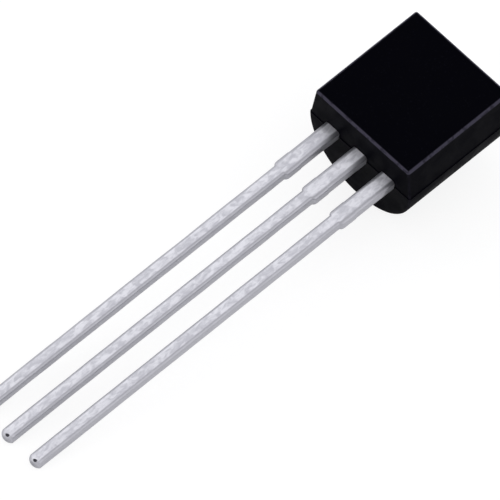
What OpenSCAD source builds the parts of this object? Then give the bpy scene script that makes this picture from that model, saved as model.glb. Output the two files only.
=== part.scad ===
// Small plastic thyristor: a D-shaped moulded body with three tinned leads.
// Inside are the lead frame's bonding posts and die flag, the silicon chip and its bond wires.
//
// The pieces are drawn with the leads down: X runs from lead to lead, Y from the flat front
// towards the round back, and Z up from the lead end of the body. The finished part is then
// laid on its round back, as it comes to rest on a table: the lead tips and the lead end of
// the back touch the table, and the flat front looks up.

/* [Moulded body] */
// Width of the body at the lead plane, its widest place
body_w = 4.62; // [4.5:0.02:4.8]
// Height of the body from its lead end to its top
body_h = 4.58; // [4.4:0.02:4.8]
// Width of the flat front
flat_w = 4.26; // [4.0:0.02:4.36]
// Distance from the flat front to the middle of the leads
flat_depth = 1.34; // [1.26:0.02:1.5]
// Draft angle of the front half's ends
front_draft = 2; // [2:0.5:5]
// Rounding of the moulded edges
edge_r = 0.08; // [0.06:0.01:0.12]
// How far the back half stands past the front half along the parting line
parting_step = 0.02; // [0.01:0.005:0.03]
// Diameter of the ejector pin's mark on the round back
ejector_d = 1; // [0.8:0.05:1.2]

/* [Leads] */
// Distance between neighbouring leads, centre to centre
lead_pitch = 1.27; // [1.25:0.01:1.29]
// Length of a lead below the body
lead_len = 15.5; // [12.7:0.1:16.5]
// Width of a lead, side to side
lead_w = 0.49; // [0.4:0.01:0.52]
// Thickness of the lead frame, front to back
lead_t = 0.44; // [0.38:0.01:0.5]
// Rounding of a lead's long edges under its tin
lead_r = 0.09; // [0.05:0.01:0.13]
// Width of a lead's root, next to the body
root_w = 0.63; // [0.56:0.01:0.66]
// Length of the root below the body
root_len = 2.25; // [1.5:0.05:2.6]
// Width over the stubs of the trimmed tie bar, at the root's end
stub_w = 0.66; // [0.66:0.01:0.72]
// Radius of the solder dome on a lead's tip
tip_r = 0.33; // [0.32:0.01:0.4]

/* [Chip] */
// Side of the square silicon chip
die_w = 1.1; // [0.8:0.05:1.2]
// Thickness of the chip
die_t = 0.25; // [0.2:0.01:0.3]
// Thickness of the solder under the chip
solder_t = 0.03; // [0.02:0.005:0.05]
// Diameter of the cathode's bond wire
cathode_wire_d = 0.15; // [0.1:0.01:0.2]
// Diameter of the gate's bond wire
gate_wire_d = 0.08; // [0.05:0.01:0.12]

/* [Hidden] */
$fn = 48;

epoxy_colour = [0.05, 0.05, 0.07];
tin_colour = [0.82, 0.82, 0.85];
solder_colour = [0.62, 0.63, 0.66];
silicon_colour = [0.3, 0.32, 0.36];
wire_colour = [0.9, 0.9, 0.91];

// The body's two mould halves meet in the lead plane, Y = 0.
back_r = body_w / 2;
front_r = back_r - parting_step;
front_y = -flat_depth;
front_rise = parting_step + flat_depth * tan(front_draft);
// The edges from the flat back to the parting line are rounded more than the others.
side_edge_r = 1.35 * edge_r;
half_overlap = 0.2;
cut_past = 0.3;

// Marks that the mould leaves: the ejector pin's on the back, the gate's stub on the top, just
// behind the parting line.
ejector_depth = 0.08;
ejector_z = 0.6 * body_h;
gate_mark = [0.7, 0.26, 0.05];
gate_y = 0.04;

// The lead frame inside the body: stems with a resin lock, two bonding posts, one die flag.
frame_face = -lead_t / 2;
stub_h = 0.6;
neck_h = 0.12;
stem_start = 0.4;
lock_z = 0.62;
lock_h = 0.26;
lock_depth = 0.12;
post_r = 0.1;
cathode_post = [0.9, 1.9, 2.85];
gate_post = [0.8, 0.95, 1.45];
flag_left = -0.55;
flag_right = 1.62;
flag_bottom = 1.75;
flag_top = 3.85;
flag_hole_d = 0.36;
flag_hole = [1.26, 3.45];

// The chip sits on the flag's front, and the wires run from its top to the posts.
die_x = 0.3;
die_z = 2.75;
solder_margin = 0.05;
die_top = frame_face - solder_t - die_t;
moat_in = 0.07;
moat_w = 0.05;
moat_depth = 0.05;
wire_sides = 8;
loop_steps = 9;
cathode_wire_from = [0.42, 2.85];
cathode_wire_to = [-1.3, 2.4];
cathode_wire_lift = 0.42;
gate_wire_from = [-0.02, 2.42];
gate_wire_to = [0, 1.12];
gate_wire_lift = 0.32;

// The shrink pit where the tin on a tip froze last, just behind the tip's front edge.
pit_r = 0.07;
pit_place = [0.06, frame_face - 0.02, 0.07 - lead_len];

// Where the lead tips first touch the table, measured on a lead's back face.
tip_touch = tip_r - sqrt(pow(tip_r, 2) - pow(lead_t / 2, 2));
// The tilt at which the tips and the rounded lead end of the back touch it together.
rest_rise = back_r - edge_r - lead_t / 2;
rest_run = lead_len - tip_touch + edge_r;
rest_tilt = atan(rest_rise / rest_run) + asin(edge_r / norm([rest_rise, rest_run]));
rest_height = lead_t / 2 * cos(rest_tilt) + (lead_len - tip_touch) * sin(rest_tilt);
// The laid part's two ends along the table.
tip_reach = (lead_len - tip_r) * cos(rest_tilt) + tip_r;
top_reach = (body_h - edge_r) * cos(rest_tilt) + (back_r - edge_r) * sin(rest_tilt) + edge_r;

function unit(v) = v / norm(v);

// ---------- shared outlines ----------

// A convex outline whose corners are rounded to the radii given, one for each corner.
module rounded_polygon(points, radii) {
    n = len(points);
    corners = [
        for (i = [0 : n - 1])
            let (
                p = points[i],
                back = unit(points[(i + n - 1) % n] - p),
                ahead = unit(points[(i + 1) % n] - p),
                half = acos(back * ahead) / 2
            )
            [p, back, ahead, half, radii[i]]
    ];
    polygon([
        for (c = corners)
            each c[4] == 0
                ? [c[0]]
                : [c[0] + c[1] * c[4] / tan(c[3]), c[0] + c[2] * c[4] / tan(c[3])]
    ]);
    for (c = corners)
        if (c[4] > 0)
            translate(c[0] + unit(c[1] + c[2]) * c[4] / sin(c[3])) circle(c[4]);
}

module rounded_rectangle(x0, y0, x1, y1, r) {
    rounded_polygon([[x0, y0], [x1, y0], [x1, y1], [x0, y1]], [r, r, r, r]);
}

// Extrudes an X-Z outline front to back, from y0 to y1.
module through_depth(y0, y1) {
    translate([0, y1, 0]) rotate([90, 0, 0]) linear_extrude(y1 - y0) children();
}

// ---------- moulded body ----------

// The round back half: half a disc whose rims are rounded.
module back_half() {
    rotate_extrude(angle = 180) {
        translate([0, edge_r]) square([back_r, body_h - 2 * edge_r]);
        square([back_r - edge_r, body_h]);
        for (z = [edge_r, body_h - edge_r])
            translate([back_r - edge_r, z]) circle(edge_r);
    }
}

// The front half as seen from its end: the sides draw in from the parting line to the flat.
module front_plan() {
    inner = front_r - half_overlap;
    rounded_polygon(
        [
            [-front_r, 0], [-flat_w / 2, front_y], [flat_w / 2, front_y],
            [front_r, 0], [inner, half_overlap], [-inner, half_overlap]
        ],
        [0, edge_r, edge_r, 0, 0, 0]
    );
}

// The front half as seen from its side, in Y and Z: both ends draw in with the draft.
module front_side() {
    rounded_polygon(
        [
            [0, parting_step], [0, body_h - parting_step], [front_y, body_h - front_rise],
            [front_y, front_rise]
        ],
        [0, 0, edge_r, edge_r]
    );
    translate([-half_overlap / 2, half_overlap])
        square([1.5 * half_overlap, body_h - 2 * half_overlap]);
}

// A bar that rounds the edge between a drawn-in side and the lead end of the front half. These
// two faces don't meet quite square, so the round is placed by the lean of the one to the other.
module side_edge_cutter() {
    from = [front_r, 0, parting_step];
    to = [flat_w / 2, front_y, front_rise];
    along = unit(to - from);
    out = unit([flat_depth, flat_w / 2 - front_r, 0]);
    down = cross(out, along);
    end_out = unit([0, parting_step - front_rise, -flat_depth]);
    lean = [end_out * out, end_out * down];
    centre = [-side_edge_r, -side_edge_r * (1 - lean.x) / lean.y];
    start = to + along * cut_past;
    multmatrix([
        [out.x, down.x, -along.x, start.x],
        [out.y, down.y, -along.y, start.y],
        [out.z, down.z, -along.z, start.z]
    ])
        linear_extrude(norm(to - from) + 2 * cut_past)
            difference() {
                polygon([
                    centre, centre + [side_edge_r, 0], [cut_past, centre.y], [cut_past, cut_past],
                    centre + lean * (side_edge_r + cut_past), centre + lean * side_edge_r
                ]);
                translate(centre) circle(side_edge_r);
            }
}

module front_half() {
    difference() {
        intersection() {
            linear_extrude(body_h) front_plan();
            rotate([90, 0, 90])
                translate([0, 0, -back_r]) linear_extrude(body_w) front_side();
        }
        for (side = [0, 1], end = [0, 1])
            mirror([side, 0, 0])
                translate([0, 0, end * body_h]) mirror([0, 0, end]) side_edge_cutter();
    }
}

module moulding() {
    difference() {
        union() {
            back_half();
            front_half();
            translate([-gate_mark.x / 2, gate_y, body_h - edge_r])
                cube([gate_mark.x, gate_mark.y, edge_r + gate_mark.z]);
        }
        translate([0, back_r - ejector_depth, ejector_z])
            rotate([-90, 0, 0]) cylinder(d = ejector_d, h = 1);
    }
}

// ---------- leads and lead frame ----------

// A straight bar of the lead's rounded section, at X = 0, of the width and ends given.
module lead_bar(w, bottom, top) {
    translate([0, 0, bottom])
        linear_extrude(top - bottom)
            rounded_rectangle(-w / 2, -lead_t / 2, w / 2, lead_t / 2, lead_r);
}

// One lead outside the body: the shank with its domed tip, the root, and the tie bar's stubs.
module lead_shank() {
    difference() {
        intersection() {
            lead_bar(lead_w, -lead_len, stem_start);
            union() {
                translate([0, 0, tip_r - lead_len]) sphere(tip_r);
                translate([-root_w / 2, -lead_t, tip_r - lead_len])
                    cube([root_w, 2 * lead_t, lead_len]);
            }
        }
        translate(pit_place) sphere(pit_r);
    }
    lead_bar(root_w, -root_len, stem_start);
    intersection() {
        lead_bar(stub_w, -root_len - neck_h, stub_h - root_len);
        through_depth(-lead_t, lead_t)
            polygon([
                [lead_r - lead_w / 2, -root_len - neck_h], [lead_w / 2 - lead_r, -root_len - neck_h],
                [stub_w / 2, -root_len], [stub_w / 2, stub_h - root_len],
                [-stub_w / 2, stub_h - root_len], [-stub_w / 2, -root_len]
            ]);
    }
}

// The stem inside the body, up to the height given, with a notch on each side that locks it
// in the resin.
module stem(top) {
    through_depth(-lead_t / 2, lead_t / 2)
        difference() {
            translate([-root_w / 2, stem_start - lead_r]) square([root_w, top - stem_start + lead_r]);
            for (side = [-1, 1])
                translate([side * root_w / 2, lock_z + lock_h / 2])
                    square([2 * lock_depth, lock_h], center = true);
        }
}

// The flat head of a lead, to which a wire is bonded.
module bonding_post(post) {
    through_depth(-lead_t / 2, lead_t / 2)
        rounded_rectangle(-post[0] / 2, post[1], post[0] / 2, post[2], post_r);
}

module cathode_lead_shape() {
    translate([-lead_pitch, 0, 0]) {
        lead_shank();
        stem(cathode_post[1] + post_r);
        bonding_post(cathode_post);
    }
}

module gate_lead_shape() {
    lead_shank();
    stem(gate_post[1] + post_r);
    bonding_post(gate_post);
}

module anode_lead_shape() {
    translate([lead_pitch, 0, 0]) {
        lead_shank();
        stem(flag_bottom + post_r);
    }
    through_depth(-lead_t / 2, lead_t / 2)
        difference() {
            rounded_rectangle(flag_left, flag_bottom, flag_right, flag_top, post_r);
            translate(flag_hole) circle(d = flag_hole_d);
        }
}

// ---------- chip and bond wires ----------

module solder_shape() {
    side = die_w + 2 * solder_margin;
    translate([die_x - side / 2, frame_face - solder_t, die_z - side / 2])
        cube([side, solder_t, side]);
}

// The chip, with the etched moat round its top that ends the blocking junction.
module die_shape() {
    difference() {
        translate([die_x - die_w / 2, die_top, die_z - die_w / 2]) cube([die_w, die_t, die_w]);
        through_depth(die_top - moat_depth, die_top + moat_depth)
            translate([die_x, die_z])
                difference() {
                    square(die_w - 2 * moat_in, center = true);
                    square(die_w - 2 * moat_in - 2 * moat_w, center = true);
                }
    }
}

// One bond wire from a foot at height y0 to a foot at height y1. The feet are pressed flat on
// their pads, to half the wire's thickness, and the loop between them rises towards the front.
module bond_wire(from, to, y0, y1, d, lift) {
    foot_half_w = 0.75 * d;
    foot_half_t = 0.25 * d;
    foot_len = 1.5 * d;
    side_step = 360 / wire_sides;
    seat = foot_half_t * cos(side_step / 2);
    way = unit([to.x - from.x, 0, to.y - from.y]);
    front = [0, -1, 0];
    side = cross(way, front);
    a = [from.x, y0 - seat, from.y];
    b = [to.x, y1 - seat, to.y];
    loop_a = a + way * foot_len;
    loop_b = b - way * foot_len;
    function loop(t) = loop_a + (loop_b - loop_a) * t + front * lift * sin(180 * t);
    function slope(t) = unit(loop_b - loop_a + front * lift * 180 / 57.3 * cos(180 * t));
    // Each ring: its centre, the way it faces, its half width and its half thickness.
    rings = concat(
        [[a, way, foot_half_w, foot_half_t], [loop_a, way, foot_half_w, foot_half_t]],
        [for (i = [1 : loop_steps]) let (t = i / (loop_steps + 1)) [loop(t), slope(t), d / 2, d / 2]],
        [[loop_b, way, foot_half_w, foot_half_t], [b, way, foot_half_w, foot_half_t]]
    );
    n = len(rings);
    points = [
        for (r = rings, k = [0 : wire_sides - 1])
            let (turn = side_step * (k + 0.5), rise = cross(side, r[1]))
            r[0] + side * r[2] * cos(turn) + rise * r[3] * sin(turn)
    ];
    walls = [
        for (i = [0 : n - 2], k = [0 : wire_sides - 1])
            let (p = i * wire_sides + k, q = i * wire_sides + (k + 1) % wire_sides)
            each [[p, q, q + wire_sides], [p, q + wire_sides, p + wire_sides]]
    ];
    first = [for (k = [wire_sides - 1 : -1 : 0]) k];
    last = [for (k = [0 : wire_sides - 1]) (n - 1) * wire_sides + k];
    polyhedron(points, concat(walls, [first, last]));
}

module cathode_wire_shape() {
    bond_wire(cathode_wire_from, cathode_wire_to, die_top, frame_face, cathode_wire_d, cathode_wire_lift);
}

module gate_wire_shape() {
    bond_wire(gate_wire_from, gate_wire_to, die_top, frame_face, gate_wire_d, gate_wire_lift);
}

// ---------- the part, laid on its back ----------

module laid_down() {
    translate([0, (tip_reach - top_reach) / 2, rest_height])
        rotate([rest_tilt - 90, 0, 0]) children();
}

// The resin fills every gap round the frame, the chip and the wires.
module body() {
    color(epoxy_colour) laid_down() difference() {
        moulding();
        cathode_lead_shape();
        gate_lead_shape();
        anode_lead_shape();
        solder_shape();
        die_shape();
        cathode_wire_shape();
        gate_wire_shape();
    }
}

module cathode_lead() {
    color(tin_colour) laid_down() cathode_lead_shape();
}

module gate_lead() {
    color(tin_colour) laid_down() gate_lead_shape();
}

module anode_lead() {
    color(tin_colour) laid_down() anode_lead_shape();
}

module die_solder() {
    color(solder_colour) laid_down() solder_shape();
}

module thyristor_die() {
    color(silicon_colour) laid_down() die_shape();
}

module cathode_bond_wire() {
    color(wire_colour) laid_down() cathode_wire_shape();
}

module gate_bond_wire() {
    color(wire_colour) laid_down() gate_wire_shape();
}

body();
cathode_lead();
gate_lead();
anode_lead();
die_solder();
thyristor_die();
cathode_bond_wire();
gate_bond_wire();
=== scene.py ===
import math

import bmesh
import bpy
from mathutils import Matrix, Vector, noise


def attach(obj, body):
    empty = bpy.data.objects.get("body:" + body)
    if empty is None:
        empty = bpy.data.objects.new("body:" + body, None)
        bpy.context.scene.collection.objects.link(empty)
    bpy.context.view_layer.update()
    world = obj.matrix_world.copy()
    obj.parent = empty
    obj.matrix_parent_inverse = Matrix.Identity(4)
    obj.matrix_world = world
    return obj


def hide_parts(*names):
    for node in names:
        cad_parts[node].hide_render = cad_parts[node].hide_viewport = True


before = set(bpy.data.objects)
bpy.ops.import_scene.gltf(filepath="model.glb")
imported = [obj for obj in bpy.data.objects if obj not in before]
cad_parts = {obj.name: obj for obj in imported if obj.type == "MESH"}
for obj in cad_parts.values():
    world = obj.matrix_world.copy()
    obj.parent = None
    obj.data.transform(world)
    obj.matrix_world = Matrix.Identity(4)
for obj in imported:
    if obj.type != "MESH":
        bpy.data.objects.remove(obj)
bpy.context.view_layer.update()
bpy.ops.object.select_all(action="DESELECT")

# ---------------------------------------------------------------------------
# Camera
# A long lens, well back from the small part, so that the three leads stay
# parallel. It looks down on the flat front from the lead end's side.
# ---------------------------------------------------------------------------
lens_mm, sensor_mm = 1600.0, 36
clip_from, clip_to = 0.1, 2.0
aim = Vector((-0.5390, 1.2882, 0.0503)) / 1000
camera_distance = 0.70638
azimuth, elevation, roll = (math.radians(a) for a in (37.184, 52.356, 11.147))

towards_camera = Vector((
    math.sin(azimuth) * math.cos(elevation),
    -math.cos(azimuth) * math.cos(elevation),
    math.sin(elevation),
))
level = Vector((math.cos(azimuth), math.sin(azimuth), 0))
upright = towards_camera.cross(level)
camera_right = level * math.cos(roll) + upright * math.sin(roll)
camera_up = towards_camera.cross(camera_right)

camera_data = bpy.data.cameras.new("camera")
camera_data.lens = lens_mm
camera_data.sensor_width = sensor_mm
camera_data.clip_start, camera_data.clip_end = clip_from, clip_to
camera = bpy.data.objects.new("camera", camera_data)
camera.matrix_world = Matrix.Translation(aim + towards_camera * camera_distance) @ Matrix(
    (camera_right, camera_up, towards_camera)
).transposed().to_4x4()
bpy.context.scene.collection.objects.link(camera)
bpy.context.scene.camera = camera
bpy.context.scene.view_settings.view_transform = "Standard"

# ---------------------------------------------------------------------------
# Table
# A plain white table top, covered with paper. Part of its brightness, seen directly
# or mirrored in the tin, is its own glow; the rest is real light, so that the piece
# keeps a soft shadow on it.
# ---------------------------------------------------------------------------
table_size = 1.6
paper_white = (1.0, 1.0, 1.0, 1)
lit_colour = (0.8, 0.8, 0.8, 1)
glow_strength = 1.12
lit_share_seen = 0.26
lit_share_mirrored = 0.85

bpy.ops.mesh.primitive_plane_add(size=table_size, location=(0, 0, 0))
table = bpy.context.object
table.name = "table_top"
paper = bpy.data.materials.new("white_paper")
paper.use_nodes = True
nodes, links = paper.node_tree.nodes, paper.node_tree.links
nodes.clear()
output = nodes.new("ShaderNodeOutputMaterial")
lit = nodes.new("ShaderNodeBsdfDiffuse")
lit.inputs["Color"].default_value = lit_colour
glow = nodes.new("ShaderNodeEmission")
glow.inputs["Color"].default_value = paper_white
glow.inputs["Strength"].default_value = glow_strength
rays = nodes.new("ShaderNodeLightPath")
mirrored = nodes.new("ShaderNodeMath")
mirrored.operation = "MAXIMUM"
links.new(rays.outputs["Is Glossy Ray"], mirrored.inputs[0])
links.new(rays.outputs["Is Transmission Ray"], mirrored.inputs[1])
surface = lit.outputs[0]
for ray, lit_share in (
    (mirrored.outputs[0], lit_share_mirrored),
    (rays.outputs["Is Camera Ray"], lit_share_seen),
):
    share = nodes.new("ShaderNodeMath")
    share.operation = "MULTIPLY"
    share.inputs[1].default_value = 1 - lit_share
    links.new(ray, share.inputs[0])
    blend = nodes.new("ShaderNodeMixShader")
    links.new(share.outputs[0], blend.inputs["Fac"])
    links.new(surface, blend.inputs[1])
    links.new(glow.outputs[0], blend.inputs[2])
    surface = blend.outputs[0]
links.new(surface, output.inputs["Surface"])
table.data.materials.append(paper)

# ---------------------------------------------------------------------------
# Light
# An even grey studio with four soft boxes. None of them stands where the flat front
# would mirror it, so the resin stays black while its edges and the tin catch the
# light. The bright ones don't show in the tin, which would turn plain white there.
# ---------------------------------------------------------------------------
studio_grey = (0.74, 0.74, 0.76)
studio_strength = 1.0

world = bpy.data.worlds.new("studio")
bpy.context.scene.world = world
world.use_nodes = True
nodes, links = world.node_tree.nodes, world.node_tree.links
nodes.clear()
output = nodes.new("ShaderNodeOutputWorld")
room = nodes.new("ShaderNodeBackground")
room.inputs["Color"].default_value = (*studio_grey, 1)
room.inputs["Strength"].default_value = studio_strength
backdrop = nodes.new("ShaderNodeBackground")
backdrop.inputs["Color"].default_value = paper_white
backdrop.inputs["Strength"].default_value = 1.0
rays = nodes.new("ShaderNodeLightPath")
choice = nodes.new("ShaderNodeMixShader")
links.new(rays.outputs["Is Camera Ray"], choice.inputs["Fac"])
links.new(room.outputs[0], choice.inputs[1])
links.new(backdrop.outputs[0], choice.inputs[2])
links.new(choice.outputs[0], output.inputs["Surface"])

box_distance = 0.5
soft_boxes = (
    # name, direction in which it stands, size, brightness of its face, shows in the tin
    ("box_right", (0.85, 0.25, 0.45), 0.455, 0.5, True),
    ("box_front", (-0.42, -0.86, 0.34), 0.30, 2.0, False),
    ("box_left_high", (-0.85, -0.15, 0.6), 0.50, 0.5, True),
    ("box_back_high", (0.25, 0.80, 0.62), 0.30, 1.4, False),
)
for name, towards, size, brightness, shows in soft_boxes:
    lamp = bpy.data.lights.new(name, "AREA")
    lamp.shape = "SQUARE"
    lamp.size = size
    lamp.energy = brightness * math.pi * size**2
    box = bpy.data.objects.new(name, lamp)
    way = Vector(towards).normalized()
    box.location = way * box_distance
    box.rotation_mode = "QUATERNION"
    box.rotation_quaternion = way.to_track_quat("Z", "Y")
    box.visible_camera = False
    box.visible_glossy = shows
    bpy.context.scene.collection.objects.link(box)

# ---------------------------------------------------------------------------
# Moulded body
# Black epoxy resin, transfer-moulded round the lead frame in two mould halves:
# a round back half and a flat front half with draft, a hair smaller, so that a
# fine step runs round the parting line. Nothing fixes it; it is cast in place.
# ---------------------------------------------------------------------------
back_r = 2.31
body_h = 4.58
flat_w = 4.26
flat_depth = 1.34
draft = math.radians(2)
edge_r, edge_steps = 0.08, 4
parting_step = 0.02
back_sides = 160
lap, bite = 0.2, 0.01
ejector_r, ejector_depth, ejector_z, ejector_sides = 0.5, 0.08, 0.6 * body_h, 64
pin_len = 1
gate_w, gate_d, gate_h, gate_y = 0.7, 0.26, 0.05, 0.04
gate_cuts, tear_scale, tear_low, tear_swing = 9, 9, 0.35, 0.6
# The flat's rim takes the lighter tone in full, a painted highlight; other edges get a little
# wear.
large_face, rim_band, rim_highlight, edge_rub = 0.2, 1.3 * edge_r, 1.0, 0.12
smooth_angle = 40

# Pieces are modelled in millimetres with the leads down, then laid on the round back.
rest_tilt = math.radians(7.683979)
rest_lift, rest_shift = 0.002279279, 0.005263009
lay_down = (
    Matrix.Translation((0, rest_shift, rest_lift))
    @ Matrix.Rotation(rest_tilt - math.pi / 2, 4, "X")
    @ Matrix.Scale(0.001, 4)
)

# The slack for picking by place, the gap within which doubles are merged, and how
# squarely a face has to look one way to be picked.
near, hair, facing = 1e-4, 4e-4, 0.9


def added(name):
    """Names the primitive just added and puts its place and size into its mesh."""
    piece = bpy.context.object
    piece.name = piece.data.name = name
    bpy.ops.object.transform_apply(location=True, rotation=True, scale=True)
    return piece


def choose(kind, wanted):
    """Selects just the vertices, edges or faces that the test picks, in edit mode."""
    bpy.ops.mesh.select_mode(type=kind)
    bpy.ops.mesh.select_all(action="DESELECT")
    form = bmesh.from_edit_mesh(bpy.context.object.data)
    for part in {"VERT": form.verts, "EDGE": form.edges, "FACE": form.faces}[kind]:
        if wanted(part):
            part.select_set(True)
    form.select_flush_mode()
    bmesh.update_edit_mesh(bpy.context.object.data)


def finish_with(piece, kind, **settings):
    """Adds a modifier to a piece and applies it."""
    bpy.ops.object.select_all(action="DESELECT")
    bpy.context.view_layer.objects.active = piece
    piece.select_set(True)
    modifier = piece.modifiers.new(kind.lower(), kind)
    for key, value in settings.items():
        setattr(modifier, key, value)
    bpy.ops.object.modifier_apply(modifier=modifier.name)


def join_or_cut(piece, other, operation):
    """Unites two solids, or cuts the second from the first, and clears the second away."""
    finish_with(piece, "BOOLEAN", object=other, operation=operation, solver="EXACT")
    bpy.data.objects.remove(other)


def mark_edges(piece, widest, how_much):
    """Marks the vertices that lie only on small faces, as on a rounded edge, by place."""
    on_large = set()
    for face in piece.data.polygons:
        if face.area > widest:
            on_large.update(face.vertices)
    edge = piece.data.attributes.new("edge", "FLOAT", "POINT")
    for k, v in enumerate(piece.data.vertices):
        edge.data[k].value = 0.0 if k in on_large else how_much(v.co)


def smooth(piece, angle):
    """Smooths all edges flatter than the angle, with the large faces kept flat."""
    bpy.ops.object.select_all(action="DESELECT")
    bpy.context.view_layer.objects.active = piece
    piece.select_set(True)
    bpy.ops.mesh.customdata_custom_splitnormals_clear()
    bpy.ops.object.shade_smooth_by_angle(angle=math.radians(angle))
    finish_with(piece, "WEIGHTED_NORMAL", keep_sharp=True, weight=100)


# The round back half: a drum cut in two, its rims rounded.
bpy.ops.mesh.primitive_cylinder_add(
    vertices=back_sides, radius=back_r, depth=body_h, location=(0, 0, body_h / 2)
)
body = added("moulded_body")
bpy.ops.object.mode_set(mode="EDIT")
bpy.ops.mesh.select_all(action="SELECT")
bpy.ops.mesh.bisect(
    plane_co=(0, 0, 0), plane_no=(0, 1, 0), use_fill=True, clear_inner=True, threshold=near
)
choose(
    "EDGE",
    lambda e: abs(e.verts[0].co.z - e.verts[1].co.z) < near
    and max(v.co.y for v in e.verts) > near,
)
bpy.ops.mesh.bevel(
    offset=edge_r, segments=edge_steps, profile=0.5, affect="EDGES", clamp_overlap=False
)
bpy.ops.object.mode_set(mode="OBJECT")

# The front half: a block that laps into the back half and draws in towards the flat. It
# starts to draw in a bite past the parting line, where no face of the back half lies.
half_w = back_r - parting_step
half_h = body_h - 2 * parting_step
flat_h = half_h - 2 * flat_depth * math.tan(draft)
bpy.ops.mesh.primitive_cube_add(
    size=1, location=(0, (bite - flat_depth) / 2, body_h / 2),
    scale=(2 * half_w, flat_depth + bite, half_h),
)
front = added("front_half")
bpy.ops.object.mode_set(mode="EDIT")
choose("FACE", lambda f: f.normal.y > facing)
bpy.ops.mesh.extrude_region_move(TRANSFORM_OT_translate={"value": (0, lap, 0)})
choose("FACE", lambda f: f.normal.y < -facing)
bpy.ops.transform.resize(
    value=(flat_w / (2 * half_w), 1, flat_h / half_h),
    center_override=(0, -flat_depth, body_h / 2),
)
choose(
    "EDGE",
    lambda e: max(v.co.y for v in e.verts) < 0 or abs(e.verts[0].co.y - e.verts[1].co.y) > lap / 2,
)
bpy.ops.mesh.bevel(
    offset=edge_r, segments=edge_steps, profile=0.5, affect="EDGES", clamp_overlap=False
)
bpy.ops.object.mode_set(mode="OBJECT")
join_or_cut(body, front, "UNION")

# The ejector pin's round mark on the back.
bpy.ops.mesh.primitive_cylinder_add(
    vertices=ejector_sides, radius=ejector_r, depth=pin_len, rotation=(math.pi / 2, 0, 0),
    location=(0, back_r - ejector_depth + pin_len / 2, ejector_z),
)
join_or_cut(body, added("ejector_pin"), "DIFFERENCE")

# The gate's stub on the top, torn off when the body leaves the mould.
bpy.ops.mesh.primitive_cube_add(
    size=1, location=(0, gate_y + gate_d / 2, body_h + gate_h / 2 - edge_r / 2),
    scale=(gate_w, gate_d, gate_h + edge_r),
)
gate = added("gate_stub")
bpy.ops.object.mode_set(mode="EDIT")
bpy.ops.mesh.select_all(action="SELECT")
bpy.ops.mesh.subdivide(number_cuts=gate_cuts)
bpy.ops.object.mode_set(mode="OBJECT")
for v in gate.data.vertices:
    if v.co.z > body_h:
        rough = 0.5 + 0.5 * noise.noise(v.co * tear_scale)
        v.co.z = body_h + (v.co.z - body_h) * (tear_low + tear_swing * rough)
join_or_cut(body, gate, "UNION")

# The room that the frame, the chip and the wires take up inside. Where one rests on the
# next, at the heights given, its core bites into that one, so that the rooms join.
frame_face, chip_back, chip_face = -0.22, -0.25, -0.5
rests = {
    "cathode_lead": (), "gate_lead": (), "anode_lead": (),
    "die_solder": (frame_face,), "thyristor_die": (chip_back,),
    "cathode_bond_wire": (frame_face, chip_face), "gate_bond_wire": (frame_face, chip_face),
}
for inner, faces in rests.items():
    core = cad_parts[inner].copy()
    core.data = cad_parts[inner].data.copy()
    core.parent = None
    bpy.context.scene.collection.objects.link(core)
    core.data.transform(lay_down.inverted())
    for v in core.data.vertices:
        if any(abs(v.co.y - face) < bite / 10 for face in faces):
            v.co.y += bite
    finish_with(core, "WELD", merge_threshold=near)
    join_or_cut(body, core, "DIFFERENCE")

# A ring of edges just behind the flat's rim ends the band of painted highlight there.
rim_end = rim_band - flat_depth
bpy.ops.object.select_all(action="DESELECT")
bpy.context.view_layer.objects.active = body
body.select_set(True)
bpy.ops.object.mode_set(mode="EDIT")
bpy.ops.mesh.select_all(action="SELECT")
bpy.ops.mesh.bisect(plane_co=(0, rim_end, 0), plane_no=(0, 1, 0))
bpy.ops.mesh.select_all(action="SELECT")
bpy.ops.mesh.remove_doubles(threshold=hair)
bpy.ops.mesh.dissolve_degenerate(threshold=hair)
bpy.ops.object.mode_set(mode="OBJECT")

smooth(body, smooth_angle)
# The flat's rim is marked for the painted highlight, the other edges for a little wear.
mark_edges(body, large_face, lambda co: rim_highlight if co.y < rim_end - near else edge_rub)
body.data.transform(lay_down)


def node_group(name, inputs, outputs):
    """Starts a shader group with the sockets given as (name, kind, value)."""
    group = bpy.data.node_groups.new(name, "ShaderNodeTree")
    for label, kind, value in inputs:
        socket = group.interface.new_socket(label, in_out="INPUT", socket_type=kind)
        if value is not None:
            socket.default_value = value
    for label, kind in outputs:
        group.interface.new_socket(label, in_out="OUTPUT", socket_type=kind)
    return group, group.nodes.new("NodeGroupInput"), group.nodes.new("NodeGroupOutput")


def math_node(nodes, links, operation, first, second=None, clamp=False):
    """A math node on sockets or plain numbers; gives its output socket."""
    node = nodes.new("ShaderNodeMath")
    node.operation = operation
    node.use_clamp = clamp
    for slot, value in zip(node.inputs, (first, second)):
        if isinstance(value, bpy.types.NodeSocket):
            links.new(value, slot)
        elif value is not None:
            slot.default_value = value
    return node.outputs[0]


def stretch(nodes, links, source, low, high, out_low=0.0, out_high=1.0):
    """Spreads the part of a value between low and high smoothly over a new range."""
    node = nodes.new("ShaderNodeMapRange")
    node.interpolation_type = "SMOOTHSTEP"
    links.new(source, node.inputs["Value"])
    limits = {"From Min": low, "From Max": high, "To Min": out_low, "To Max": out_high}
    for label, value in limits.items():
        node.inputs[label].default_value = value
    return node.outputs["Result"]


def mix_colour(nodes, links, share, first, second):
    """Mixes two colours, given as sockets or values, by a mask; gives the colour socket."""
    node = nodes.new("ShaderNodeMix")
    node.data_type = "RGBA"
    links.new(share, node.inputs["Factor"])
    for slot, value in zip((node.inputs[6], node.inputs[7]), (first, second)):
        if isinstance(value, bpy.types.NodeSocket):
            links.new(value, slot)
        else:
            slot.default_value = (*value, 1)
    return node.outputs[2]


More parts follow.
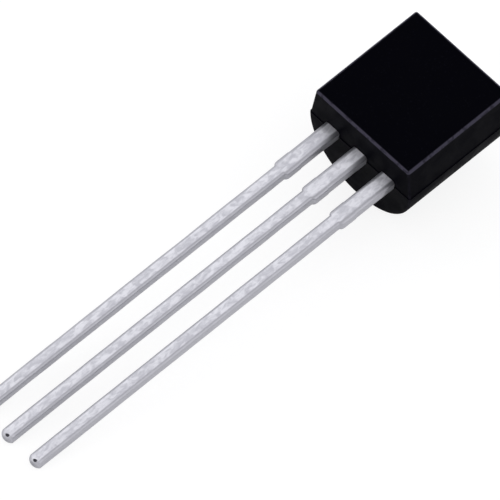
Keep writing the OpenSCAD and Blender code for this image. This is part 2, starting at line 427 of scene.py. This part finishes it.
# Fine and coarse grain in one: a height for bumps and a mask for patches of colour.
grain, g_in, g_out = node_group(
    "grain",
    [("Vector", "NodeSocketVector", None), ("Fine Scale", "NodeSocketFloat", 12.0),
     ("Patch Scale", "NodeSocketFloat", 2.5)],
    [("Height", "NodeSocketFloat"), ("Patches", "NodeSocketFloat")],
)
patch_low, patch_high = 0.32, 0.68
fine = grain.nodes.new("ShaderNodeTexNoise")
fine.inputs["Detail"].default_value = 3.0
patch = grain.nodes.new("ShaderNodeTexNoise")
patch.inputs["Detail"].default_value = 4.0
patch.inputs["Distortion"].default_value = 0.6
for texture, scale in ((fine, "Fine Scale"), (patch, "Patch Scale")):
    grain.links.new(g_in.outputs["Vector"], texture.inputs["Vector"])
    grain.links.new(g_in.outputs[scale], texture.inputs["Scale"])
grain.links.new(fine.outputs["Fac"], g_out.inputs["Height"])
grain.links.new(
    stretch(grain.nodes, grain.links, patch.outputs["Fac"], patch_low, patch_high),
    g_out.inputs["Patches"],
)

# Tone on the edges: the piece's own "edge" attribute, broken up by noise. On the body it is
# wear with a painted highlight along the flat's rim; on the leads it is painted shade on the
# corners.
edge_wear_and_painted_light, w_in, w_out = node_group(
    "edge_wear_and_painted_light",
    [("Vector", "NodeSocketVector", None), ("Scale", "NodeSocketFloat", 4.0),
     ("Evenness", "NodeSocketFloat", 0.6)],
    [("Edge Tone", "NodeSocketFloat")],
)
breakup_low, breakup_high = 0.35, 0.65
edge = edge_wear_and_painted_light.nodes.new("ShaderNodeAttribute")
edge.attribute_name = "edge"
breakup_noise = edge_wear_and_painted_light.nodes.new("ShaderNodeTexNoise")
breakup_noise.inputs["Detail"].default_value = 2.0
edge_wear_and_painted_light.links.new(w_in.outputs["Vector"], breakup_noise.inputs["Vector"])
edge_wear_and_painted_light.links.new(w_in.outputs["Scale"], breakup_noise.inputs["Scale"])
broken_up = math_node(
    edge_wear_and_painted_light.nodes, edge_wear_and_painted_light.links, "ADD",
    stretch(edge_wear_and_painted_light.nodes, edge_wear_and_painted_light.links, breakup_noise.outputs["Fac"], breakup_low, breakup_high),
    w_in.outputs["Evenness"], clamp=True,
)
edge_wear_and_painted_light.links.new(
    math_node(edge_wear_and_painted_light.nodes, edge_wear_and_painted_light.links, "MULTIPLY", edge.outputs["Fac"], broken_up),
    w_out.inputs["Edge Tone"],
)


def upright_place(nodes, links, stretched=(1, 1, 1)):
    """Places on the piece in millimetres with the leads down, for patterns that may be
    stretched, as along the leads."""
    mapping = nodes.new("ShaderNodeMapping")
    mapping.vector_type = "TEXTURE"
    mapping.inputs["Location"].default_value = (0, rest_shift, rest_lift)
    mapping.inputs["Rotation"].default_value = (rest_tilt - math.pi / 2, 0, 0)
    mapping.inputs["Scale"].default_value = [0.001 * k for k in stretched]
    links.new(nodes.new("ShaderNodeTexCoord").outputs["Object"], mapping.inputs["Vector"])
    return mapping.outputs["Vector"]


def put(nodes, links, group, vector, **values):
    """Places a shader group in a material with its own values."""
    node = nodes.new("ShaderNodeGroup")
    node.node_tree = group
    links.new(vector, node.inputs["Vector"])
    for label, value in values.items():
        node.inputs[label.replace("_", " ")].default_value = value
    return node


def new_finish(name, **settings):
    """Starts a material, with the shader's constants; gives it, its nodes and its shader."""
    finish = bpy.data.materials.new(name)
    finish.use_nodes = True
    shader = finish.node_tree.nodes["Principled BSDF"]
    for label, value in settings.items():
        shader.inputs[label.replace("_", " ")].default_value = value
    return finish, finish.node_tree.nodes, finish.node_tree.links, shader


def finish_surface(nodes, links, shader, colour, patches, roughness, height, bump_height):
    """Wires colour, a roughness that varies with the patches, and fine bumps to a shader."""
    links.new(colour, shader.inputs["Base Color"])
    links.new(stretch(nodes, links, patches, 0, 1, *roughness), shader.inputs["Roughness"])
    bump = nodes.new("ShaderNodeBump")
    bump.inputs["Distance"].default_value = bump_height
    links.new(height, bump.inputs["Height"])
    links.new(bump.outputs["Normal"], shader.inputs["Normal"])


# Moulded epoxy: near black with a blue cast, the grain of a spark-eroded mould, specks of
# filler, and edges rubbed a little lighter, with the flat's rim lighter still as a painted
# highlight.
resin_black = (0.0003, 0.0003, 0.0016)
resin_worn_and_lit = (0.046, 0.043, 0.062)
filler_grey = (0.006, 0.006, 0.010)
resin_gloss, resin_roughness = 0.02, (0.44, 0.56)
speck_scale, speck_r, speck_core = 9.0, 0.16, 0.05
grain_height = 1.2e-6

moulding, nodes, links, shader = new_finish("black_moulding", Specular_IOR_Level=resin_gloss)
place = upright_place(nodes, links)
texture = put(nodes, links, grain, place, Fine_Scale=16.0, Patch_Scale=1.4)
worn_and_lit_edges = put(nodes, links, edge_wear_and_painted_light, place, Scale=5.0, Evenness=0.55)
specks = nodes.new("ShaderNodeTexVoronoi")
specks.inputs["Scale"].default_value = speck_scale
links.new(place, specks.inputs["Vector"])
speck = stretch(nodes, links, specks.outputs["Distance"], speck_r, speck_core)
dulled = mix_colour(nodes, links, speck, resin_black, filler_grey)
# Edges a little worn, and the flat's rim painted lighter as a painted highlight.
finish_surface(
    nodes, links, shader,
    mix_colour(nodes, links, worn_and_lit_edges.outputs["Edge Tone"], dulled, resin_worn_and_lit),
    texture.outputs["Patches"], resin_roughness, texture.outputs["Height"], grain_height,
)
body.data.materials.clear()
body.data.materials.append(moulding)
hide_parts("body")
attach(body, "root")

# ---------------------------------------------------------------------------
# Leads
# Three straight leads of copper-alloy strip, stamped as one frame with the posts and
# the chip's flag, trimmed apart and dipped in tin. The resin and a notch in each
# stem lock them into the body.
# ---------------------------------------------------------------------------
lead_pitch = 1.27
lead_len = 15.5
lead_w, lead_t = 0.49, 0.44
coat_r = 0.12
root_w, stub_w, stub_end = 0.63, 0.66, 1.65
# The shoulder swells from the shank to the stubs: (depth below the body, width).
shoulder_start = 2.308
shoulder = ((2.28, 0.53), (2.25, 0.6), (2.2, 0.645), (2.12, stub_w), (2.0, stub_w))
root_rings = (-1.2, -0.8, -0.4, -0.1, 0.1, 0.31, 0.4)
step_h = 0.01
tip_r = 0.33
tip_drops = (0.1, 0.08, 0.06, 0.04, 0.03, 0.02)
tip_shrinks = (0.82, 0.78, 0.72, 0.6, 0.4)
ring_step = 0.16
pit_r = 0.07
pit_place = Vector((0.06, -0.24, 0.07 - lead_len))

tip_centre = Vector((0, 0, tip_r - lead_len))
bpy.ops.mesh.primitive_plane_add(size=1, location=tip_centre)
bpy.context.object.scale = (lead_w, lead_t, 1)
shank = added("lead_shank")
bpy.ops.object.mode_set(mode="EDIT")
bpy.ops.mesh.select_all(action="SELECT")
bpy.ops.mesh.bevel(
    offset=coat_r, segments=edge_steps, profile=0.5, affect="VERTICES", clamp_overlap=False
)
choose("EDGE", lambda e: e.calc_length() > coat_r)
bpy.ops.mesh.subdivide(number_cuts=2)
bpy.ops.object.mode_set(mode="OBJECT")

# Along its rounded corners the tin is painted darker, a painted shade, which the "edge" attribute
# carries up the lead.
corner_shade_slope = 6
corner_shade_mask = shank.data.attributes.new("edge", "FLOAT", "POINT")
for k, v in enumerate(shank.data.vertices):
    into_x = abs(v.co.x) - lead_w / 2 + coat_r
    into_y = abs(v.co.y) - lead_t / 2 + coat_r
    corner_shade_mask.data[k].value = max(0, min(1, corner_shade_slope * min(into_x, into_y) / coat_r))
bpy.ops.object.mode_set(mode="EDIT")
bpy.ops.mesh.select_all(action="SELECT")


def grow(width_from, width_to, rise, at, slide=0.0):
    """Extrudes the lead's end face by the rise, to a new width round its middle."""
    bpy.ops.mesh.extrude_region_move(TRANSFORM_OT_translate={"value": (slide, 0, rise)})
    bpy.ops.transform.resize(value=(width_to / width_from, 1, 1), center_override=at)


def grow_through(stations, x_mid):
    """Extrudes the selected end face through (height, left, right) stations."""
    z0, left0, right0 = stations[0]
    for z, left, right in stations[1:]:
        mid0, mid = (left0 + right0) / 2 + x_mid, (left + right) / 2 + x_mid
        grow(right0 - left0, right - left, z - z0, (mid, 0, z), mid - mid0)
        z0, left0, right0 = z, left, right


def even(z, width):
    """A station that stands the same way out to the left and the right."""
    return z, -width / 2, width / 2


choose("FACE", lambda f: True)
stations = [even(tip_centre.z, lead_w)]
rings = round((lead_len - tip_r - shoulder_start) / ring_step)
for k in range(1, rings + 1):
    z = tip_centre.z + (-shoulder_start - tip_centre.z) * k / rings
    stations.append(even(z, lead_w))
stations += [even(-depth, width) for depth, width in shoulder]
stations += [even(-stub_end, stub_w), even(step_h - stub_end, root_w)]
stations += [even(z, root_w) for z in root_rings]
grow_through(stations, 0)

# The domed tip: more rings and a closed end, all drawn in onto one ball.
choose("FACE", lambda f: len(f.verts) > 4 and f.calc_center_median().z < tip_centre.z + near)
for drop in tip_drops:
    bpy.ops.mesh.extrude_region_move(TRANSFORM_OT_translate={"value": (0, 0, -drop)})
for shrink in tip_shrinks:
    bpy.ops.mesh.extrude_region_move(TRANSFORM_OT_translate={"value": (0, 0, 0)})
    bpy.ops.transform.resize(value=(shrink, shrink, 1), center_override=(0, 0, -lead_len))
bpy.ops.mesh.select_all(action="SELECT")
bpy.ops.mesh.normals_make_consistent(inside=False)
bpy.ops.object.mode_set(mode="OBJECT")
for v in shank.data.vertices:
    off = v.co - tip_centre
    if off.z < near and off.length > tip_r:
        v.co = tip_centre + off.normalized() * tip_r

bpy.ops.mesh.primitive_ico_sphere_add(subdivisions=4, radius=pit_r, location=pit_place)
join_or_cut(shank, added("pit"), "DIFFERENCE")
finish_with(shank, "WELD", merge_threshold=hair)

# One attribute is full on the sides that face left and right, which are painted darker as
# painted shade. Another is painted shade: dark in the pit, at the very end of the tip, and along
# the corners next to the body.
# Painted shade: dark in the pit, at the very end of the tip and along the corners next to the
# body.
tip_end_shade, end_h = 0.55, 0.12
root_corner_shade, root_shade_h = 0.7, 0.9
pit_reach = 1.03 * pit_r
corner_shade_mask = shank.data.attributes["edge"]
side = shank.data.attributes.new("side_shade", "FLOAT", "POINT")
painted_shade = shank.data.attributes.new("painted_shade", "FLOAT", "POINT")
for k, v in enumerate(shank.data.vertices):
    # Painted shade on the sides that face left and right.
    side.data[k].value = abs(v.normal.x)
    corner_shade_mask.data[k].value *= max(0, min(1, (v.co.z + lead_len) / tip_r)) ** 2
    above = max(0, min(1, (v.co.z + lead_len) / end_h))
    in_pit = (v.co - pit_place).length < pit_reach
    root_shade = max(0, min(1, 1 + v.co.z / root_shade_h)) * corner_shade_mask.data[k].value
    painted_shade.data[k].value = 1.0 if in_pit else max(tip_end_shade * (1 - above) ** 2, root_corner_shade * root_shade)

# Dipped tin: a satin metal with soft patches and faint draw lines along the lead. Painted shade
# darkens its sides, its rounded corners, the pit, the tip's very end and the corners at the body.
tin_bright = (0.88, 0.88, 0.93)
tin_dull = (0.62, 0.62, 0.67)
# The next three colours are painted shade: the sides, the rounded corners, and the pit, tip end
# and corners at the body.
tin_side_shade = (0.52, 0.52, 0.56)
tin_corner_shade = (0.45, 0.45, 0.485)
tin_painted_shade = (0.05, 0.05, 0.06)
tin_metal, tin_roughness = 0.7, (0.28, 0.42)
side_shade_from, side_shade_to = 0.05, 0.6
tin_wave = 2.5e-6

tin, nodes, links, shader = new_finish("dipped_tin", Metallic=tin_metal)
along = upright_place(nodes, links, (1, 1, 2))
texture = put(nodes, links, grain, along, Fine_Scale=9.0, Patch_Scale=7.0)
place = upright_place(nodes, links)
broad = put(nodes, links, grain, place, Fine_Scale=3.2, Patch_Scale=1.3)
# Painted shade along the rounded corners.
corner_shaded = put(nodes, links, edge_wear_and_painted_light, place, Scale=7.0, Evenness=0.75)
side, painted_shade = nodes.new("ShaderNodeAttribute"), nodes.new("ShaderNodeAttribute")
side.attribute_name, painted_shade.attribute_name = "side_shade", "painted_shade"
side_shade = stretch(nodes, links, side.outputs["Fac"], side_shade_from, side_shade_to)
toned = mix_colour(nodes, links, texture.outputs["Patches"], tin_bright, tin_dull)
# Painted shade on the sides, the rounded corners, the pit, the tip's end and the corners at the
# body.
for share, colour in (
    (side_shade, tin_side_shade),
    (corner_shaded.outputs["Edge Tone"], tin_corner_shade),
    (painted_shade.outputs["Fac"], tin_painted_shade),
):
    toned = mix_colour(nodes, links, share, toned, colour)
waves = math_node(nodes, links, "ADD", texture.outputs["Height"], broad.outputs["Height"])
finish_surface(
    nodes, links, shader, toned, broad.outputs["Patches"], tin_roughness, waves, tin_wave
)

# Inside the body: a locking notch in each stem, and above it a post or the flag, given
# as left, right, bottom and top, from the lead's own middle.
post_corner = 0.1
lock_from, lock_to, lock_w = 0.62, 0.88, root_w - 0.24
cathode_post = (-0.45, 0.45, 1.9, 2.85)
gate_post = (-0.4, 0.4, 0.95, 1.45)
flag = (-0.55 - lead_pitch, 1.62 - lead_pitch, 1.75, 3.85)
flag_hole, flag_hole_r, flag_hole_sides = (1.26, 0, 3.45), 0.18, 48
frame_from = 0.35
coat_swing, coat_from, coat_fade = 0.018, 0.2, 0.4
swing_across, swing_along = 1.6, 0.9


def head(left, right, bottom, top):
    """Stations of a stem's widened head, with rounded corners."""
    cuts = [
        (post_corner * (1 - math.cos(a)), post_corner * (1 - math.sin(a)))
        for a in (0, math.pi / 6, math.pi / 3, math.pi / 2)
    ]
    rising = [(bottom + dz, left + dx, right - dx) for dz, dx in cuts]
    falling = [(top - dz, left + dx, right - dx) for dz, dx in reversed(cuts)]
    return [even(bottom - step_h, root_w)] + rising + falling


lock = [
    even(root_rings[-1], root_w), even(lock_from, root_w), even(lock_from + step_h, lock_w),
    even(lock_to - step_h, lock_w), even(lock_to, root_w),
]
leads = {
    "cathode_lead": (-lead_pitch, head(*cathode_post)),
    "gate_lead": (0, head(*gate_post)),
    "anode_lead": (lead_pitch, head(*flag)),
}
for name, (x_mid, top_end) in leads.items():
    lead = shank.copy()
    lead.data = shank.data.copy()
    lead.name = lead.data.name = "tinned_" + name
    bpy.context.scene.collection.objects.link(lead)
    lead.data.transform(Matrix.Translation((x_mid, 0, 0)))
    bpy.ops.object.select_all(action="DESELECT")
    bpy.context.view_layer.objects.active = lead
    lead.select_set(True)
    bpy.ops.object.mode_set(mode="EDIT")
    choose("FACE", lambda f: f.calc_center_median().z > root_rings[-1] - near)
    grow_through(lock + top_end, x_mid)
    bpy.ops.object.mode_set(mode="OBJECT")

    # Inside the body the bare frame keeps the square corners that it was stamped with.
    levels = {}
    for v in lead.data.vertices:
        if v.co.z > frame_from:
            levels.setdefault(round(v.co.z, 3), []).append(v)
            lead.data.attributes["edge"].data[v.index].value = 0.0
            lead.data.attributes["painted_shade"].data[v.index].value = 0.0
    corner_x, corner_y = 2 * coat_r / lead_w, 2 * coat_r / lead_t
    for level in levels.values():
        left, right = min(v.co.x for v in level), max(v.co.x for v in level)
        mid, half = (left + right) / 2, (right - left) / 2
        for v in level:
            into_x = 1 + (abs(v.co.x - mid) / half - 1) / corner_x
            into_y = 1 + (2 * abs(v.co.y) / lead_t - 1) / corner_y
            if min(into_x, into_y) > near:
                most = max(into_x, into_y)
                out_x = half * (1 - corner_x * (1 - into_x / most))
                out_y = lead_t / 2 * (1 - corner_y * (1 - into_y / most))
                v.co.x = mid + math.copysign(out_x, v.co.x - mid)
                v.co.y = math.copysign(out_y, v.co.y)
    if name == "anode_lead":
        bpy.ops.mesh.primitive_cylinder_add(
            vertices=flag_hole_sides, radius=flag_hole_r, depth=2 * lead_t,
            location=flag_hole, rotation=(math.pi / 2, 0, 0),
        )
        join_or_cut(lead, added("flag_hole"), "DIFFERENCE")

    # Outside the body the coat of tin is a hair thicker in some places than in others.
    for v in lead.data.vertices:
        bare = min(1, max(0, (-coat_from - v.co.z) / coat_fade))
        waves_at = (swing_across * v.co.x, swing_across * v.co.y, swing_along * v.co.z)
        dip = 0.5 + 0.5 * noise.noise(Vector(waves_at))
        v.co -= Vector((v.co.x - x_mid, v.co.y, 0)).normalized() * coat_swing * bare * dip
    smooth(lead, smooth_angle)
    lead.data.transform(lay_down)
    lead.data.materials.clear()
    lead.data.materials.append(tin)
    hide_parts(name)
    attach(lead, "root")
bpy.data.objects.remove(shank)

# ---------------------------------------------------------------------------
# Chip
# A square silicon chip with a moat etched round its top and filled with glass.
# Its top carries an aluminium pad for the cathode and a small one for the gate.
# It is soldered to the anode's flag, inside the body.
# ---------------------------------------------------------------------------
chip_x, chip_z, pad_half = 0.3, 2.75, 0.41
moat_from, moat_to = 0.43, 0.48
gate_pad_x, gate_pad_z, gate_pad_half, gate_gap = -0.02, 2.42, 0.09, 0.03
silicon_grey = (0.11, 0.12, 0.15)
moat_glass = (0.05, 0.07, 0.06)
pad_bright = (0.88, 0.88, 0.89)
pad_dull = (0.70, 0.70, 0.72)
pad_metal, chip_roughness, pad_grain = 0.95, (0.2, 0.34), 4e-7

silicon, nodes, links, shader = new_finish("silicon_chip")
place = upright_place(nodes, links)
sides = nodes.new("ShaderNodeSeparateXYZ")
links.new(place, sides.inputs["Vector"])


def from_middle(x, z):
    """How far a place is from the square's middle, square by square."""
    away = [
        math_node(nodes, links, "SUBTRACT", sides.outputs[axis], middle)
        for axis, middle in (("X", x), ("Z", z))
    ]
    return math_node(
        nodes, links, "MAXIMUM", *(math_node(nodes, links, "ABSOLUTE", gap) for gap in away)
    )


chip_out, gate_out = from_middle(chip_x, chip_z), from_middle(gate_pad_x, gate_pad_z)
big_pad = math_node(
    nodes, links, "MULTIPLY",
    math_node(nodes, links, "LESS_THAN", chip_out, pad_half),
    math_node(nodes, links, "GREATER_THAN", gate_out, gate_pad_half + gate_gap),
)
small_pad = math_node(nodes, links, "LESS_THAN", gate_out, gate_pad_half)
pads = math_node(nodes, links, "MAXIMUM", big_pad, small_pad)
moat = math_node(
    nodes, links, "MULTIPLY",
    math_node(nodes, links, "GREATER_THAN", chip_out, moat_from),
    math_node(nodes, links, "LESS_THAN", chip_out, moat_to),
)
texture = put(nodes, links, grain, place, Fine_Scale=40.0, Patch_Scale=9.0)
pad_colour = mix_colour(nodes, links, texture.outputs["Patches"], pad_bright, pad_dull)
bare = mix_colour(nodes, links, moat, silicon_grey, moat_glass)
links.new(math_node(nodes, links, "MULTIPLY", pads, pad_metal), shader.inputs["Metallic"])
finish_surface(
    nodes, links, shader, mix_colour(nodes, links, pads, bare, pad_colour),
    texture.outputs["Patches"], chip_roughness, texture.outputs["Height"], pad_grain,
)
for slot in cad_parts["thyristor_die"].material_slots:
    slot.material = silicon

# ---------------------------------------------------------------------------
# Die solder
# A thin layer of soft solder between the chip and the anode's flag, reflowed, so
# dull and slightly grainy.
# ---------------------------------------------------------------------------
solder_bright = (0.62, 0.63, 0.66)
solder_dull = (0.38, 0.39, 0.42)
solder_metal, solder_roughness, solder_grain = 0.85, (0.42, 0.6), 2e-6

solder, nodes, links, shader = new_finish("reflowed_solder", Metallic=solder_metal)
place = upright_place(nodes, links)
texture = put(nodes, links, grain, place, Fine_Scale=30.0, Patch_Scale=8.0)
finish_surface(
    nodes, links, shader,
    mix_colour(nodes, links, texture.outputs["Patches"], solder_bright, solder_dull),
    texture.outputs["Patches"], solder_roughness, texture.outputs["Height"], solder_grain,
)
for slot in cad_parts["die_solder"].material_slots:
    slot.material = solder

# ---------------------------------------------------------------------------
# Bond wires
# Aluminium wires from the chip's two pads to the posts of the cathode and gate
# leads. Their ends are pressed flat and welded by ultrasound.
# ---------------------------------------------------------------------------
wire_bright = (0.90, 0.90, 0.91)
wire_dull = (0.72, 0.72, 0.74)
wire_metal, wire_roughness, wire_grain = 1.0, (0.24, 0.38), 6e-7

aluminium, nodes, links, shader = new_finish("drawn_aluminium", Metallic=wire_metal)
across = upright_place(nodes, links, (6, 1, 1))
texture = put(nodes, links, grain, across, Fine_Scale=50.0, Patch_Scale=20.0)
finish_surface(
    nodes, links, shader,
    mix_colour(nodes, links, texture.outputs["Patches"], wire_bright, wire_dull),
    texture.outputs["Patches"], wire_roughness, texture.outputs["Height"], wire_grain,
)
for name in ("cathode_bond_wire", "gate_bond_wire"):
    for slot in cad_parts[name].material_slots:
        slot.material = aluminium
